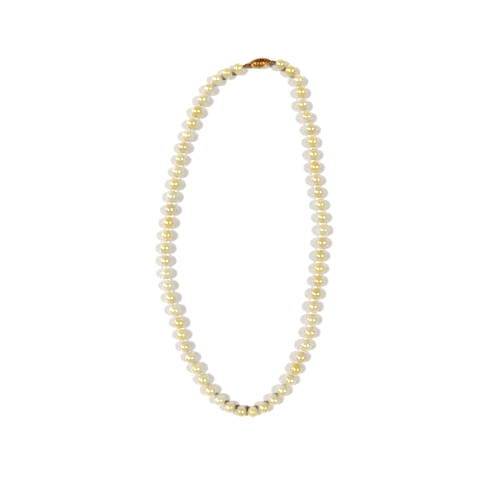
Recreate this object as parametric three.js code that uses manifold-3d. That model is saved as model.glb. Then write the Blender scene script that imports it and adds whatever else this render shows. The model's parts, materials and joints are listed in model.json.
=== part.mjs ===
// Knotted pearl necklace: 63 pearls on silk, closed by a gold filigree fish-hook clasp.
// Millimetres, +Z up. The strand lies flat on the table (z = 0) as one closed, slightly wavy
// loop: the clasp is at the back (+Y), the middle of the strand at the front (-Y).
import * as THREE from 'three';
import { mergeVertices } from 'three/addons/utils/BufferGeometryUtils.js';
import Module from 'manifold-3d';

const wasm = await Module();
wasm.setup();

// ---- Driving dimensions ---------------------------------------------------------------------

// Centres of every second pearl, from the clasp's hook end down the left side, round the front
// and up the right side to the clasp's ring end. The other pearls lie on the curve between them.
const ROUTE = [
  [-3.4, 92.8], [-15.2, 86.9], [-22.9, 75.5], [-28.7, 62.5],
  [-33.4, 49.5], [-36.6, 36.1], [-39.5, 22.4], [-41.5, 8.1],
  [-43.3, -5.9], [-42.8, -19.8], [-40.4, -33.2], [-35.8, -46.9],
  [-32.6, -60.1], [-26.0, -72.1], [-18.6, -84.2], [-8.0, -93.3],
  [4.7, -96.0], [16.2, -89.3], [25.2, -78.5], [31.0, -65.9],
  [36.1, -52.4], [38.0, -38.1], [40.7, -24.0], [41.7, -10.1],
  [43.4, 4.1], [41.8, 18.0], [39.6, 31.7], [38.1, 45.7],
  [36.6, 59.5], [32.1, 72.8], [29.8, 86.4], [20.0, 95.2],
];
const CLASP_MIDDLE = [9.0, 95.9];
const HOOK_EYE = [0.6, 95.1];
const END_RING = [15.0, 95.9];
const PEARL_COUNT = 2 * ROUTE.length - 1;

// Silk between neighbouring pearls, and the knot on it.
const SILK_SHOWING = 0.62;
const HINGE_CLEARANCE = 0.25;
const SILK_RADIUS = 0.4;
const KNOT_RADIUS = 0.58;
const SILK_IN_PEARL = 0.3;

// Pearls are counted from the clasp on each side. The ones beside a hinged knot have a node
// each, and the runs share one node through their silk.
const LEFT_SINGLES = [1, 26];
const RIGHT_SINGLES = [9, 25];
const NAPE_RUNS = [[1, 2], [3, 5], [6, 8]];
const FRONT_LEFT_RUNS = [[27, 29], [30, 32]];
const FRONT_RIGHT_RUNS = [[29, 31], [26, 28]];

// Clasp, along its axis (u) from the silk at the hook to the silk at the ring, across it in
// the strand's plane (v) and upwards (w, 0 at the silk's height).
const SILK_HEIGHT = 3.15;
const SILK_END_CLEARANCE = 0.45;
const CLASP_ROLL = THREE.MathUtils.degToRad(22);
const SHELL_CENTRE_U = 9.7;
const SHELL_CENTRE_V = 1.0;
const SHELL_HALF_LENGTH = 6.3;
const SHELL_HALF_WIDTH = 2.95;
const SHELL_WALL = 0.42;
const DOME_RISE = 1.9;
const BASE_DROP = 1.5;
const SEAM_HALF_GAP = 0.1;
const RING_RADIUS = 0.74;
const RING_WIRE = 0.25;
const LOOP_RADIUS = 0.5;
const LOOP_SILK = 0.14;
const HOOK_V = 0.45;
const HOOK_WIDTH = 1.3;
const HOOK_THICKNESS = 0.5;
const HOOK_TIP_U = 12.6;
const TAB_U = 2.9;
const TAB_THICKNESS = 0.3;
const TAB_HEIGHT = 1.6;
const LEAF_THICKNESS = 0.22;
const LEAF_RISE = 0.35;
const LEAF_END_U = 7.9;
const LEAF_GAP = 0.05;
const CATCH_U = 7.1;
const CATCH_RADIUS = 0.22;
const CATCH_HALF_LENGTH = 0.9;
const MOUTH_END_U = 6.6;
const MOUTH_WIDTH = 1.7;
const MOUTH_HEIGHT = 1.5;
const PIERCING_RADIUS = 0.42;
const PIERCING_STEP_U = 1.75;
const PIERCING_STEP_V = 1.35;

const PEARL_SIDES = 12;
const SMALL_SIDES = 8;
const SHELL_SIDES = 16;
const SHELL_STEPS = 10;

const PEARL_TONES = [0xe3d3a6, 0xd9bf94, 0xd8bc6a, 0xe3d3a6, 0xe8dfc0, 0xd8bc6a, 0xe3d3a6];
const GOLD = { color: 0xc79038, roughness: 0.32, metalness: 1.0 };
const SILK = { color: 0xd9bd7e, roughness: 0.85, metalness: 0.0 };

// ---- Shape helpers --------------------------------------------------------------------------

const UP = new THREE.Vector3(0, 0, 1);
const group = new THREE.Group();
group.name = 'pearl_necklace';

function addNode(name, geometry, finish) {
  const mesh = new THREE.Mesh(geometry, new THREE.MeshStandardMaterial(finish));
  mesh.name = name;
  group.add(mesh);
}

function pearlFinish(index) {
  return { color: PEARL_TONES[index % PEARL_TONES.length], roughness: 0.25, metalness: 0.05 };
}

// A profile of [radius, distance along the axis] turned about a level direction. The profile
// runs from low to high along the axis, and one turned flat faces straight down.
function turned(profile, sides, origin, direction) {
  const points = profile.map(([radius, along]) => new THREE.Vector2(radius, along));
  const geometry = new THREE.LatheGeometry(points, sides, Math.PI / sides);
  const across = new THREE.Vector3().crossVectors(direction, UP);
  const placing = new THREE.Matrix4().makeBasis(across, direction, UP).setPosition(origin);
  return geometry.applyMatrix4(placing);
}

function toManifold(geometry) {
  const plain = geometry.clone();
  plain.deleteAttribute('normal');
  plain.deleteAttribute('uv');
  const welded = mergeVertices(plain, 1e-4);
  const mesh = new wasm.Mesh({
    numProp: 3,
    vertProperties: new Float32Array(welded.attributes.position.array),
    triVerts: new Uint32Array(welded.index.array),
  });
  return new wasm.Manifold(mesh);
}

function toGeometry(solid) {
  const mesh = solid.getMesh();
  const geometry = new THREE.BufferGeometry();
  const positions = new Float32Array(mesh.vertProperties);
  geometry.setAttribute('position', new THREE.BufferAttribute(positions, 3));
  geometry.setIndex(new THREE.BufferAttribute(new Uint32Array(mesh.triVerts), 1));
  geometry.computeVertexNormals();
  return geometry;
}

function united(geometries) {
  const solids = geometries.map(toManifold);
  return solids.reduce((whole, part) => whole.add(part));
}

function cutFrom(solid, geometries) {
  const cutters = geometries.map(toManifold);
  return cutters.reduce((rest, cutter) => rest.subtract(cutter), solid);
}

// ---- Pearls and silk ------------------------------------------------------------------------

function routePoint(step) {
  const [x, y] = ROUTE[step] ?? CLASP_MIDDLE;
  return new THREE.Vector3(x, y, 0);
}

// A pearl between two route points sits on the smooth curve through its four neighbours.
function pearlBetween(step) {
  const near = routePoint(step).add(routePoint(step + 1)).multiplyScalar(9 / 16);
  const far = routePoint(step - 1).add(routePoint(step + 2)).multiplyScalar(-1 / 16);
  return near.add(far);
}

function pearlCentres() {
  return Array.from({ length: PEARL_COUNT }, (_, index) => {
    const step = Math.floor(index / 2);
    return index % 2 === 0 ? routePoint(step) : pearlBetween(step);
  });
}

// Pearls in stringing order. Each fills its half of the silk on either side, less the knots,
// and rests on the table.
function strungPearls() {
  const centres = pearlCentres();
  const last = PEARL_COUNT - 1;
  return centres.map((centre, index) => {
    const before = centres[Math.max(index - 1, 0)];
    const after = centres[Math.min(index + 1, last)];
    const spans = index === 0 || index === last ? 1 : 2;
    const pitch = (centre.distanceTo(before) + centre.distanceTo(after)) / spans;
    const radius = (pitch - SILK_SHOWING) / 2;
    const from = index === 0 ? new THREE.Vector3(...HOOK_EYE, 0) : before;
    const to = index === last ? new THREE.Vector3(...END_RING, 0) : after;
    const direction = to.clone().sub(from).normalize();
    return { centre: new THREE.Vector3(centre.x, centre.y, radius), direction, radius };
  });
}

const pearls = strungPearls();

function holeOf(index, side) {
  const { centre, direction, radius } = pearls[index];
  return centre.clone().addScaledVector(direction, side * radius);
}

function leftIndex(number) {
  return number - 1;
}

function rightIndex(number) {
  return PEARL_COUNT - number;
}

// A ball with flats: the corners stand outside the true radius so that the flats touch it.
function ballProfile(radius) {
  const step = (2 * Math.PI) / PEARL_SIDES;
  const corner = radius / Math.cos(step / 2);
  const profile = [];
  for (let row = -PEARL_SIDES / 4; row < PEARL_SIDES / 4; row += 1) {
    const latitude = (row + 0.5) * step;
    profile.push([(corner * Math.cos(latitude)) / Math.cos(step / 2), corner * Math.sin(latitude)]);
  }
  return profile;
}

function pearlAlone(index) {
  const { centre, direction, radius } = pearls[index];
  const profile = [[0, -radius], ...ballProfile(radius), [0, radius]];
  return turned(profile, PEARL_SIDES, centre, direction);
}

// The pearl and the knot behind it, which stops short of the next pearl so that it can bend.
function pearlWithKnot(index) {
  const { centre, direction, radius } = pearls[index];
  const knotEnd = radius + SILK_SHOWING - HINGE_CLEARANCE;
  const knot = [[KNOT_RADIUS, radius], [SILK_RADIUS, knotEnd], [0, knotEnd]];
  const profile = [[0, -radius], ...ballProfile(radius), ...knot];
  return turned(profile, PEARL_SIDES, centre, direction);
}

// Silk and knot that join a pearl to the next one in the same node.
function knotBetween(index) {
  const start = holeOf(index, 1);
  const end = holeOf(index + 1, -1);
  const length = start.distanceTo(end);
  const direction = end.clone().sub(start).setZ(0).normalize();
  const first = -SILK_IN_PEARL;
  const final = length + SILK_IN_PEARL;
  const profile = [[0, first], [SILK_RADIUS, first], [KNOT_RADIUS, length / 2], [SILK_RADIUS, final], [0, final]];
  return turned(profile, SMALL_SIDES, start, direction);
}

function addSingle(name, index) {
  const isLast = index === PEARL_COUNT - 1;
  addNode(name, isLast ? pearlAlone(index) : pearlWithKnot(index), pearlFinish(index));
}

// Pearls from `first` to `last` in stringing order, joined through their silk.
function addRun(name, first, last) {
  const pieces = [last === PEARL_COUNT - 1 ? pearlAlone(last) : pearlWithKnot(last)];
  for (let index = first; index < last; index += 1) {
    pieces.push(pearlAlone(index), knotBetween(index));
  }
  addNode(name, toGeometry(united(pieces)), pearlFinish(first));
}

function twoDigits(number) {
  return String(number).padStart(2, '0');
}

function addSide(side, singles, runs, indexOf) {
  for (let number = singles[0]; number <= singles[1]; number += 1) {
    addSingle(`pearl_${side}_${twoDigits(number)}`, indexOf(number));
  }
  runs.forEach(([from, to]) => {
    const ends = [indexOf(from), indexOf(to)].sort((a, b) => a - b);
    addRun(`pearls_${side}_${twoDigits(from)}_${twoDigits(to)}`, ends[0], ends[1]);
  });
}

// ---- Clasp ----------------------------------------------------------------------------------

const hookSilk = holeOf(0, -1).setZ(SILK_HEIGHT);
const ringSilk = holeOf(PEARL_COUNT - 1, 1).setZ(SILK_HEIGHT);
const claspLength = hookSilk.distanceTo(ringSilk);
const along = ringSilk.clone().sub(hookSilk).normalize();
const sideways = new THREE.Vector3().crossVectors(UP, along);
const claspPlacing = new THREE.Matrix4().makeBasis(along, sideways, UP).setPosition(hookSilk);
claspPlacing.multiply(new THREE.Matrix4().makeRotationX(-CLASP_ROLL));

const LOOP_INSET = SILK_END_CLEARANCE + LOOP_RADIUS + LOOP_SILK;
const EYE_U = LOOP_INSET + RING_RADIUS;
const END_RING_U = claspLength - LOOP_INSET - RING_RADIUS;

function inClasp(geometry) {
  return geometry.applyMatrix4(claspPlacing);
}

function boxAt(u, v, w, sizeU, sizeV, sizeW) {
  return new THREE.BoxGeometry(sizeU, sizeV, sizeW).translate(u, v, w);
}

// A pointed oval body: a half-width that falls off to nothing at both tips, turned about the
// u axis and then flattened.
function pointedOval(halfLength, halfWidth, halfHeight) {
  const points = [];
  for (let step = 0; step <= SHELL_STEPS; step += 1) {
    const share = (2 * step) / SHELL_STEPS - 1;
    points.push(new THREE.Vector2(halfWidth * (1 - share * share), halfLength * share));
  }
  const body = new THREE.LatheGeometry(points, SHELL_SIDES, Math.PI / SHELL_SIDES);
  body.rotateZ(-Math.PI / 2);
  body.scale(1, 1, halfHeight / halfWidth);
  return body.translate(SHELL_CENTRE_U, SHELL_CENTRE_V, 0);
}

// Round piercings through a half shell: a middle row and a shorter row on either side.
function piercings() {
  const rows = [[0, 5], [1, 3], [-1, 3]];
  return rows.flatMap(([row, count]) => Array.from({ length: count }, (_, place) => {
    const u = SHELL_CENTRE_U + (place - (count - 1) / 2) * PIERCING_STEP_U;
    const v = SHELL_CENTRE_V + row * PIERCING_STEP_V;
    const hole = new THREE.CylinderGeometry(PIERCING_RADIUS, PIERCING_RADIUS, 2 * DOME_RISE, SMALL_SIDES);
    return hole.rotateX(Math.PI / 2).translate(u, v, 0);
  }));
}

function mouth() {
  const length = MOUTH_END_U;
  return boxAt(length / 2, HOOK_V, 0, length, MOUTH_WIDTH, MOUTH_HEIGHT);
}

// One half of the shell: up is +1 for the dome and -1 for the base.
function halfShell(halfHeight, up) {
  const outer = toManifold(pointedOval(SHELL_HALF_LENGTH, SHELL_HALF_WIDTH, halfHeight));
  const inner = pointedOval(
    SHELL_HALF_LENGTH - 2 * SHELL_WALL, SHELL_HALF_WIDTH - SHELL_WALL, halfHeight - SHELL_WALL);
  const reach = 4 * SHELL_HALF_LENGTH;
  const otherSide = boxAt(SHELL_CENTRE_U, SHELL_CENTRE_V, up * (SEAM_HALF_GAP - reach / 2), reach, reach, reach);
  return cutFrom(outer, [inner, otherSide, mouth()]);
}

function ring(u) {
  return new THREE.TorusGeometry(RING_RADIUS, RING_WIRE, SMALL_SIDES, SHELL_SIDES).translate(u, HOOK_V, 0);
}

// Room in the dome's tip for the end ring.
function ringSeat() {
  const start = END_RING_U - RING_RADIUS - RING_WIRE - SEAM_HALF_GAP;
  return boxAt(start + SHELL_HALF_LENGTH / 2, HOOK_V, 0, SHELL_HALF_LENGTH, SHELL_HALF_WIDTH, 2 * DOME_RISE);
}

function ringHole() {
  const radius = RING_RADIUS - RING_WIRE / 2;
  const hole = new THREE.CylinderGeometry(radius, radius, 2 * DOME_RISE, SHELL_SIDES);
  return hole.rotateX(Math.PI / 2).translate(END_RING_U, HOOK_V, 0);
}

function addShell() {
  const dome = cutFrom(halfShell(DOME_RISE, 1), [...piercings(), ringSeat()]);
  addNode('clasp_shell_dome', inClasp(toGeometry(dome)), GOLD);
  const base = cutFrom(halfShell(BASE_DROP, -1), [ringHole()]);
  const baseWithRing = base.add(toManifold(ring(END_RING_U)));
  addNode('clasp_shell_base', inClasp(toGeometry(baseWithRing)), GOLD);
}

function addCatch() {
  const bar = new THREE.CylinderGeometry(CATCH_RADIUS, CATCH_RADIUS, 2 * CATCH_HALF_LENGTH, SMALL_SIDES);
  const height = HOOK_THICKNESS / 2 + CATCH_RADIUS + HINGE_CLEARANCE / 2;
  addNode('clasp_catch_bar', inClasp(bar.translate(CATCH_U, SHELL_CENTRE_V, height)), GOLD);
}

function addHook() {
  const stemStart = EYE_U + RING_RADIUS;
  const stemLength = HOOK_TIP_U - stemStart;
  const stem = boxAt(stemStart + stemLength / 2, HOOK_V, 0, stemLength, HOOK_WIDTH, HOOK_THICKNESS);
  const tab = boxAt(TAB_U, HOOK_V, TAB_HEIGHT / 2, TAB_THICKNESS, HOOK_WIDTH, TAB_HEIGHT);
  addNode('clasp_hook', inClasp(toGeometry(united([ring(EYE_U), stem, tab]))), GOLD);
}

// The springy leaf doubles back from the hook's tip and stands behind the catch bar.
function addLeaf() {
  const low = HOOK_THICKNESS / 2 + LEAF_GAP;
  const outline = new THREE.Shape();
  outline.moveTo(HOOK_TIP_U, low);
  outline.lineTo(HOOK_TIP_U, low + LEAF_THICKNESS);
  outline.lineTo(LEAF_END_U, low + LEAF_THICKNESS + LEAF_RISE);
  outline.lineTo(LEAF_END_U, low + LEAF_RISE);
  outline.lineTo(HOOK_TIP_U - LEAF_THICKNESS, low);
  outline.closePath();
  const leaf = new THREE.ExtrudeGeometry(outline, { depth: HOOK_WIDTH, bevelEnabled: false });
  leaf.rotateX(Math.PI / 2).translate(0, HOOK_V + HOOK_WIDTH / 2, 0);
  addNode('clasp_hook_leaf', inClasp(leaf), GOLD);
}

// Silk turned through an end ring, standing upright across the ring's wire.
function addSilkLoop(name, u) {
  const loop = new THREE.TorusGeometry(LOOP_RADIUS, LOOP_SILK, SMALL_SIDES, SHELL_SIDES);
  addNode(name, inClasp(loop.rotateX(Math.PI / 2).translate(u, HOOK_V, 0)), SILK);
}

// ---- The necklace ---------------------------------------------------------------------------

addSide('left', LEFT_SINGLES, FRONT_LEFT_RUNS, leftIndex);
addSide('right', RIGHT_SINGLES, [...NAPE_RUNS, ...FRONT_RIGHT_RUNS], rightIndex);
addShell();
addCatch();
addHook();
addLeaf();
addSilkLoop('silk_loop_hook', LOOP_INSET);
addSilkLoop('silk_loop_ring', claspLength - LOOP_INSET);

export default group;
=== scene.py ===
"""A hand-knotted pearl necklace with a gold filigree fish-hook clasp, dressed on its CAD frame.

Sixty-three drilled pearls hang on one twisted silk cord, which is knotted behind every pearl and
looped through the clasp at both ends. The strand's route and the clasp's sizes repeat the CAD
source and are in millimetres. Every mesh is in metres, in the frame's own axes.
"""

import json
import logging
import math
from dataclasses import dataclass, field
from enum import Enum

import bpy
import numpy as np
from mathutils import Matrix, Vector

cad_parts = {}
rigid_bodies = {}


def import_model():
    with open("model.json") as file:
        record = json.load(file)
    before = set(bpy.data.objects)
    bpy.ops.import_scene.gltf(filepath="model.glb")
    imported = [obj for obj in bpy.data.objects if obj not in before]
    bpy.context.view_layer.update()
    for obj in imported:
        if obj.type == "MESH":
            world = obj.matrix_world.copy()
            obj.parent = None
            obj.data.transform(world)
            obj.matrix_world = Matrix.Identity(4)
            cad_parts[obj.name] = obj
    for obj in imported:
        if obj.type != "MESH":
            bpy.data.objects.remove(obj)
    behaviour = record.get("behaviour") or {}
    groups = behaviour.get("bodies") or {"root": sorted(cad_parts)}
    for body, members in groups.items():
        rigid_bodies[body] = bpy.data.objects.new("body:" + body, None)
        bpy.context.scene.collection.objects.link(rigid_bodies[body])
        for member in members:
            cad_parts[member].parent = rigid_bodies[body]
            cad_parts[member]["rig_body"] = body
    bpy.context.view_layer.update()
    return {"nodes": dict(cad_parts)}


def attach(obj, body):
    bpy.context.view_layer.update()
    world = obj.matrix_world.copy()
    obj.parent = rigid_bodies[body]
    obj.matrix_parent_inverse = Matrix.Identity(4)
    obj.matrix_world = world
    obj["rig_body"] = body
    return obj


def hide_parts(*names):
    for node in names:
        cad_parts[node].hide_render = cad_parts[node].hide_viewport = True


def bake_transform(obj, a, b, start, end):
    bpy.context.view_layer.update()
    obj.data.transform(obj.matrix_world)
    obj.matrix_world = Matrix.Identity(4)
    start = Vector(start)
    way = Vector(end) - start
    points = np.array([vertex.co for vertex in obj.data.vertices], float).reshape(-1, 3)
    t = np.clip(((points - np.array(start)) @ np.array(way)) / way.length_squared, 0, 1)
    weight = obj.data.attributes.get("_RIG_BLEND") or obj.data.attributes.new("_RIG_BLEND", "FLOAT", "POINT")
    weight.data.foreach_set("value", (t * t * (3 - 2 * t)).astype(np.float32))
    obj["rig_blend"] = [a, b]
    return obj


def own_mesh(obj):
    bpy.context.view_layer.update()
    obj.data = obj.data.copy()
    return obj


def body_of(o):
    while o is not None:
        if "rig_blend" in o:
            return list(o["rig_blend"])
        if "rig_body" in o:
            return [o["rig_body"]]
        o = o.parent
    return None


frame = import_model()

LOG = logging.getLogger("necklace")
MM = 0.001
UP = np.array([0.0, 0.0, 1.0])

ROUTE = (
    (-3.4, 92.8), (-15.2, 86.9), (-22.9, 75.5), (-28.7, 62.5),
    (-33.4, 49.5), (-36.6, 36.1), (-39.5, 22.4), (-41.5, 8.1),
    (-43.3, -5.9), (-42.8, -19.8), (-40.4, -33.2), (-35.8, -46.9),
    (-32.6, -60.1), (-26.0, -72.1), (-18.6, -84.2), (-8.0, -93.3),
    (4.7, -96.0), (16.2, -89.3), (25.2, -78.5), (31.0, -65.9),
    (36.1, -52.4), (38.0, -38.1), (40.7, -24.0), (41.7, -10.1),
    (43.4, 4.1), (41.8, 18.0), (39.6, 31.7), (38.1, 45.7),
    (36.6, 59.5), (32.1, 72.8), (29.8, 86.4), (20.0, 95.2),
)
CLASP_MIDDLE = (9.0, 95.9)
HOOK_EYE = (0.6, 95.1)
END_RING = (15.0, 95.9)

# One letter per pearl in stringing order: the tone it was matched to when the row was sorted.
TONE_ORDER = (
    "GCPCCDGPHCCGVHDG" "VRPPCPGGRCCCCPRV"
    "GVRVRDHVCVRHHGH" "HRVCHRDRGHCRGCDH"
)


# ---- Surfaces ---------------------------------------------------------------------------------


@dataclass(frozen=True)
class Grid:
    """A closed surface given as a grid of points: rows along it and columns around it.

    Attributes:
        points: Array of shape (rows, columns, 3), in metres.
        rows_meet: The last row joins the first; otherwise both ends are capped.
        finish: Index of the piece's material on this grid.
        values: Named numbers, one per point, of shape (rows, columns).
    """

    points: np.ndarray
    rows_meet: bool = False
    finish: int = 0
    values: dict[str, np.ndarray] = field(default_factory=dict)

    def faces(self) -> list[tuple[int, ...]]:
        """Quads of the grid, and its two caps if the rows don't meet, facing outward.

        Returns:
            The faces, as numbers of points in row order.
        """
        rows, columns = self.points.shape[:2]
        numbers = np.arange(rows * columns).reshape(rows, columns)
        here = numbers if self.rows_meet else numbers[:-1]
        ahead = np.roll(numbers, -1, axis=0) if self.rows_meet else numbers[1:]
        corners = (here, np.roll(here, -1, axis=1), np.roll(ahead, -1, axis=1), ahead)
        quads = np.stack(corners, axis=-1).reshape(-1, 4)
        faces = [tuple(quad) for quad in quads.tolist()]
        if not self.rows_meet:
            faces += [tuple(numbers[0, ::-1].tolist()), tuple(numbers[-1].tolist())]
        if self._volume(quads) < 0:
            faces = [face[::-1] for face in faces]
        return faces

    def _volume(self, quads: np.ndarray) -> float:
        """Six times the volume that the quads enclose, below nothing if they face inward.

        Args:
            quads: Point numbers of shape (quads, 4).

        Returns:
            The signed sum of a . (b x c) + a . (c x d) over the quads' corners a, b, c and d.
        """
        flat = self.points.reshape(-1, 3)
        a, b, c, d = (flat[quads[:, corner]] - flat.mean(axis=0) for corner in range(4))
        return float(np.sum(a * (np.cross(b, c) + np.cross(c, d))))


class Piece:
    """One visual piece: a mesh object made of closed grids and dressed in its finishes."""

    def __init__(self, name: str, grids: list[Grid]) -> None:
        """Keeps the grids.

        Args:
            name: Object name of the piece.
            grids: The closed surfaces it is made of.
        """
        self.name = name
        self.grids = grids

    def dressed(self, *materials: bpy.types.Material) -> bpy.types.Object:
        """Builds the mesh object.

        Args:
            *materials: Finishes, in the order of the grids' finish numbers.

        Returns:
            The object, at the origin and unturned.
        """
        points, faces, finishes, first = [], [], [], 0
        for grid in self.grids:
            own = grid.faces()
            points.append(grid.points.reshape(-1, 3))
            faces += [tuple(first + corner for corner in face) for face in own]
            finishes += [grid.finish] * len(own)
            first += grid.points.shape[0] * grid.points.shape[1]
        mesh = bpy.data.meshes.new(self.name)
        mesh.from_pydata(np.concatenate(points).tolist(), [], faces)
        mesh.polygons.foreach_set("use_smooth", np.ones(len(faces), dtype=bool))
        mesh.polygons.foreach_set("material_index", np.array(finishes, dtype=np.int32))
        for name in self.grids[0].values:
            values = np.concatenate([grid.values[name].ravel() for grid in self.grids])
            mesh.attributes.new(name, "FLOAT", "POINT").data.foreach_set("value", values.astype(np.float32))
        for material in materials:
            mesh.materials.append(material)
        mesh.update()
        made = bpy.data.objects.new(self.name, mesh)
        bpy.context.scene.collection.objects.link(made)
        LOG.info("%s: %d faces", self.name, len(faces))
        return made


def unit(vectors: np.ndarray) -> np.ndarray:
    """The vectors at length one."""
    return vectors / np.linalg.norm(vectors, axis=-1, keepdims=True)


def turned(profile: np.ndarray, origin: np.ndarray, axis: np.ndarray, sides: int) -> np.ndarray:
    """Turns a profile about a level axis.

    Each profile point (distance along the axis, distance from it) becomes a ring around the axis.

    Args:
        profile: Array of shape (rows, 2), in metres.
        origin: Point on the axis where the distance along it is nothing.
        axis: Unit direction of the axis.
        sides: Points around.

    Returns:
        Points of shape (rows, sides, 3).
    """
    across = unit(np.cross(axis, UP))
    over = np.cross(across, axis)
    angle = np.linspace(0.0, 2 * np.pi, sides, endpoint=False)
    spokes = np.cos(angle)[:, None] * across + np.sin(angle)[:, None] * over
    return origin + profile[:, 0, None, None] * axis + profile[:, 1, None, None] * spokes[None]


def carried_frames(path: np.ndarray, closed: bool) -> tuple[np.ndarray, np.ndarray]:
    """Two directions across a path at every point, carried along it without twisting.

    Args:
        path: Points of shape (steps, 3).
        closed: The last point is followed by the first.

    Returns:
        The two unit directions, each of shape (steps, 3).
    """
    ahead = np.roll(path, -1, axis=0) - np.roll(path, 1, axis=0) if closed else np.gradient(path, axis=0)
    tangents = unit(ahead)
    start = UP if abs(tangents[0, 2]) < 0.9 else np.array([1.0, 0.0, 0.0])
    sides = np.empty_like(path)
    side = start
    for step, tangent in enumerate(tangents):
        side = unit(side - tangent * (side @ tangent))
        sides[step] = side
    if closed:
        end = unit(side - tangents[0] * (side @ tangents[0]))
        gap = math.atan2(float(np.cross(sides[0], end) @ tangents[0]), float(sides[0] @ end))
        turn = -gap * np.arange(len(path)) / len(path)
        other = np.cross(tangents, sides)
        sides = np.cos(turn)[:, None] * sides + np.sin(turn)[:, None] * other
    return sides, np.cross(tangents, sides)


def swept(
    path: np.ndarray,
    width: float | np.ndarray,
    height: float | np.ndarray | None = None,
    sides: int = 10,
    closed: bool = False,
    plies: int = 0,
    lay: float = 1.0,
    squareness: float = 1.0,
) -> np.ndarray:
    """Carries a rounded section along a path.

    The section at angle a reaches width times cos(a) and height times sin(a), each raised to the
    squareness. With plies, its reach also rises and falls once per ply around it, and that
    pattern turns once per lay along the path, as in a laid cord.

    Args:
        path: Points of shape (steps, 3), in metres.
        width: Half-width, one number or one per step.
        height: Half-height, or None for the same as width.
        sides: Points around.
        closed: The path meets itself.
        plies: Strands twisted together, or 0 for a plain section.
        lay: Length of one turn of the twist, in metres.
        squareness: 1 for an ellipse, and towards 0 for a rectangle.

    Returns:
        Points of shape (steps, sides, 3).
    """
    first, second = carried_frames(path, closed)
    height = width if height is None else height
    angle = np.linspace(0.0, 2 * np.pi, sides, endpoint=False)
    cosine, sine = np.cos(angle), np.sin(angle)
    broad = (np.sign(cosine) * np.abs(cosine) ** squareness)[None, :] * np.reshape(width, (-1, 1))
    tall = (np.sign(sine) * np.abs(sine) ** squareness)[None, :] * np.reshape(height, (-1, 1))
    if plies:
        steps = np.linalg.norm(np.diff(path, axis=0), axis=1)
        length = np.concatenate([[0.0], np.cumsum(steps)])
        whole = length[-1] + (np.linalg.norm(path[0] - path[-1]) if closed else 0.0)
        turns = round(whole / lay) / whole if closed else 1.0 / lay
        phase = angle[None, :] - 2 * np.pi * turns * length[:, None]
        reach = 0.68 + 0.32 * np.abs(np.cos(phase * plies / 2))
        broad, tall = broad * reach, tall * reach
    return path[:, None, :] + broad[..., None] * first[:, None, :] + tall[..., None] * second[:, None, :]


def smoothly(values: np.ndarray, low: float, high: float) -> np.ndarray:
    """0 below low, 1 above high and a smooth rise between."""
    share = np.clip((values - low) / (high - low), 0.0, 1.0)
    return share * share * (3 - 2 * share)


# ---- Finishes ---------------------------------------------------------------------------------


class Shader:
    """A material's node tree around one Principled shader, built node by node."""

    def __init__(self, name: str) -> None:
        """Starts a material.

        Args:
            name: Material name.
        """
        self.material = bpy.data.materials.new(name)
        self.material.use_nodes = True
        self.tree = self.material.node_tree
        self.surface = self.tree.nodes["Principled BSDF"]
        self.place = self.add("ShaderNodeTexCoord").outputs["Object"]

    def add(self, kind: str, **settings: object) -> bpy.types.Node:
        """Adds a node and sets its properties.

        Args:
            kind: Blender's node type.
            **settings: Property names and values.

        Returns:
            The node.
        """
        node = self.tree.nodes.new(kind)
        for name, value in settings.items():
            setattr(node, name, value)
        return node

    def join(self, source: bpy.types.NodeSocket, target: bpy.types.NodeSocket) -> None:
        """Links one socket to another."""
        self.tree.links.new(source, target)

    def noise(self, scale: float, detail: float = 2.0) -> bpy.types.NodeSocket:
        """Soft noise in the piece's own space.

        Args:
            scale: Cells per metre.
            detail: Finer layers added.

        Returns:
            The noise value's socket.
        """
        node = self.add("ShaderNodeTexNoise")
        node.inputs["Scale"].default_value = scale
        node.inputs["Detail"].default_value = detail
        self.join(self.place, node.inputs["Vector"])
        return node.outputs["Fac"]

    def attribute(self, name: str) -> bpy.types.NodeSocket:
        """A number kept on the piece's points."""
        return self.add("ShaderNodeAttribute", attribute_name=name).outputs["Fac"]

    def spread(self, value: bpy.types.NodeSocket, low: float, high: float) -> bpy.types.NodeSocket:
        """The value stretched so that low becomes 0 and high becomes 1.

        Args:
            value: Socket of the value.
            low: Value that becomes 0.
            high: Value that becomes 1.

        Returns:
            The stretched value's socket.
        """
        node = self.add("ShaderNodeMapRange")
        node.inputs["From Min"].default_value = low
        node.inputs["From Max"].default_value = high
        self.join(value, node.inputs["Value"])
        return node.outputs["Result"]

    def mixed(self, share: bpy.types.NodeSocket, first: object, second: object) -> bpy.types.NodeSocket:
        """A blend of two colours.

        Args:
            share: Socket of the second colour's share.
            first: Colour or colour socket at share 0.
            second: Colour or colour socket at share 1.

        Returns:
            The blended colour's socket.
        """
        node = self.add("ShaderNodeMix", data_type="RGBA")
        self.join(share, node.inputs["Factor"])
        for name, colour in (("A", first), ("B", second)):
            socket = next(s for s in node.inputs if s.name == name and s.type == "RGBA")
            if isinstance(colour, bpy.types.NodeSocket):
                self.join(colour, socket)
            else:
                socket.default_value = (*colour, 1.0)
        return next(s for s in node.outputs if s.type == "RGBA")

    def bumped(self, height: bpy.types.NodeSocket, depth: float) -> None:
        """Raises the surface by a height, on top of the bumps already there.

        Args:
            height: Socket of the height, 0 to 1.
            depth: Height of 1, in metres.
        """
        node = self.add("ShaderNodeBump")
        node.inputs["Distance"].default_value = depth
        node.inputs["Strength"].default_value = 1.0
        self.join(height, node.inputs["Height"])
        before = self.surface.inputs["Normal"].links
        if before:
            self.join(before[0].from_socket, node.inputs["Normal"])
        self.join(node.outputs["Normal"], self.surface.inputs["Normal"])

    def set(self, **values: object) -> None:
        """Sets the Principled shader's own sockets; an underscore stands for a space."""
        for name, value in values.items():
            self.surface.inputs[name.replace("_", " ")].default_value = value


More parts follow.
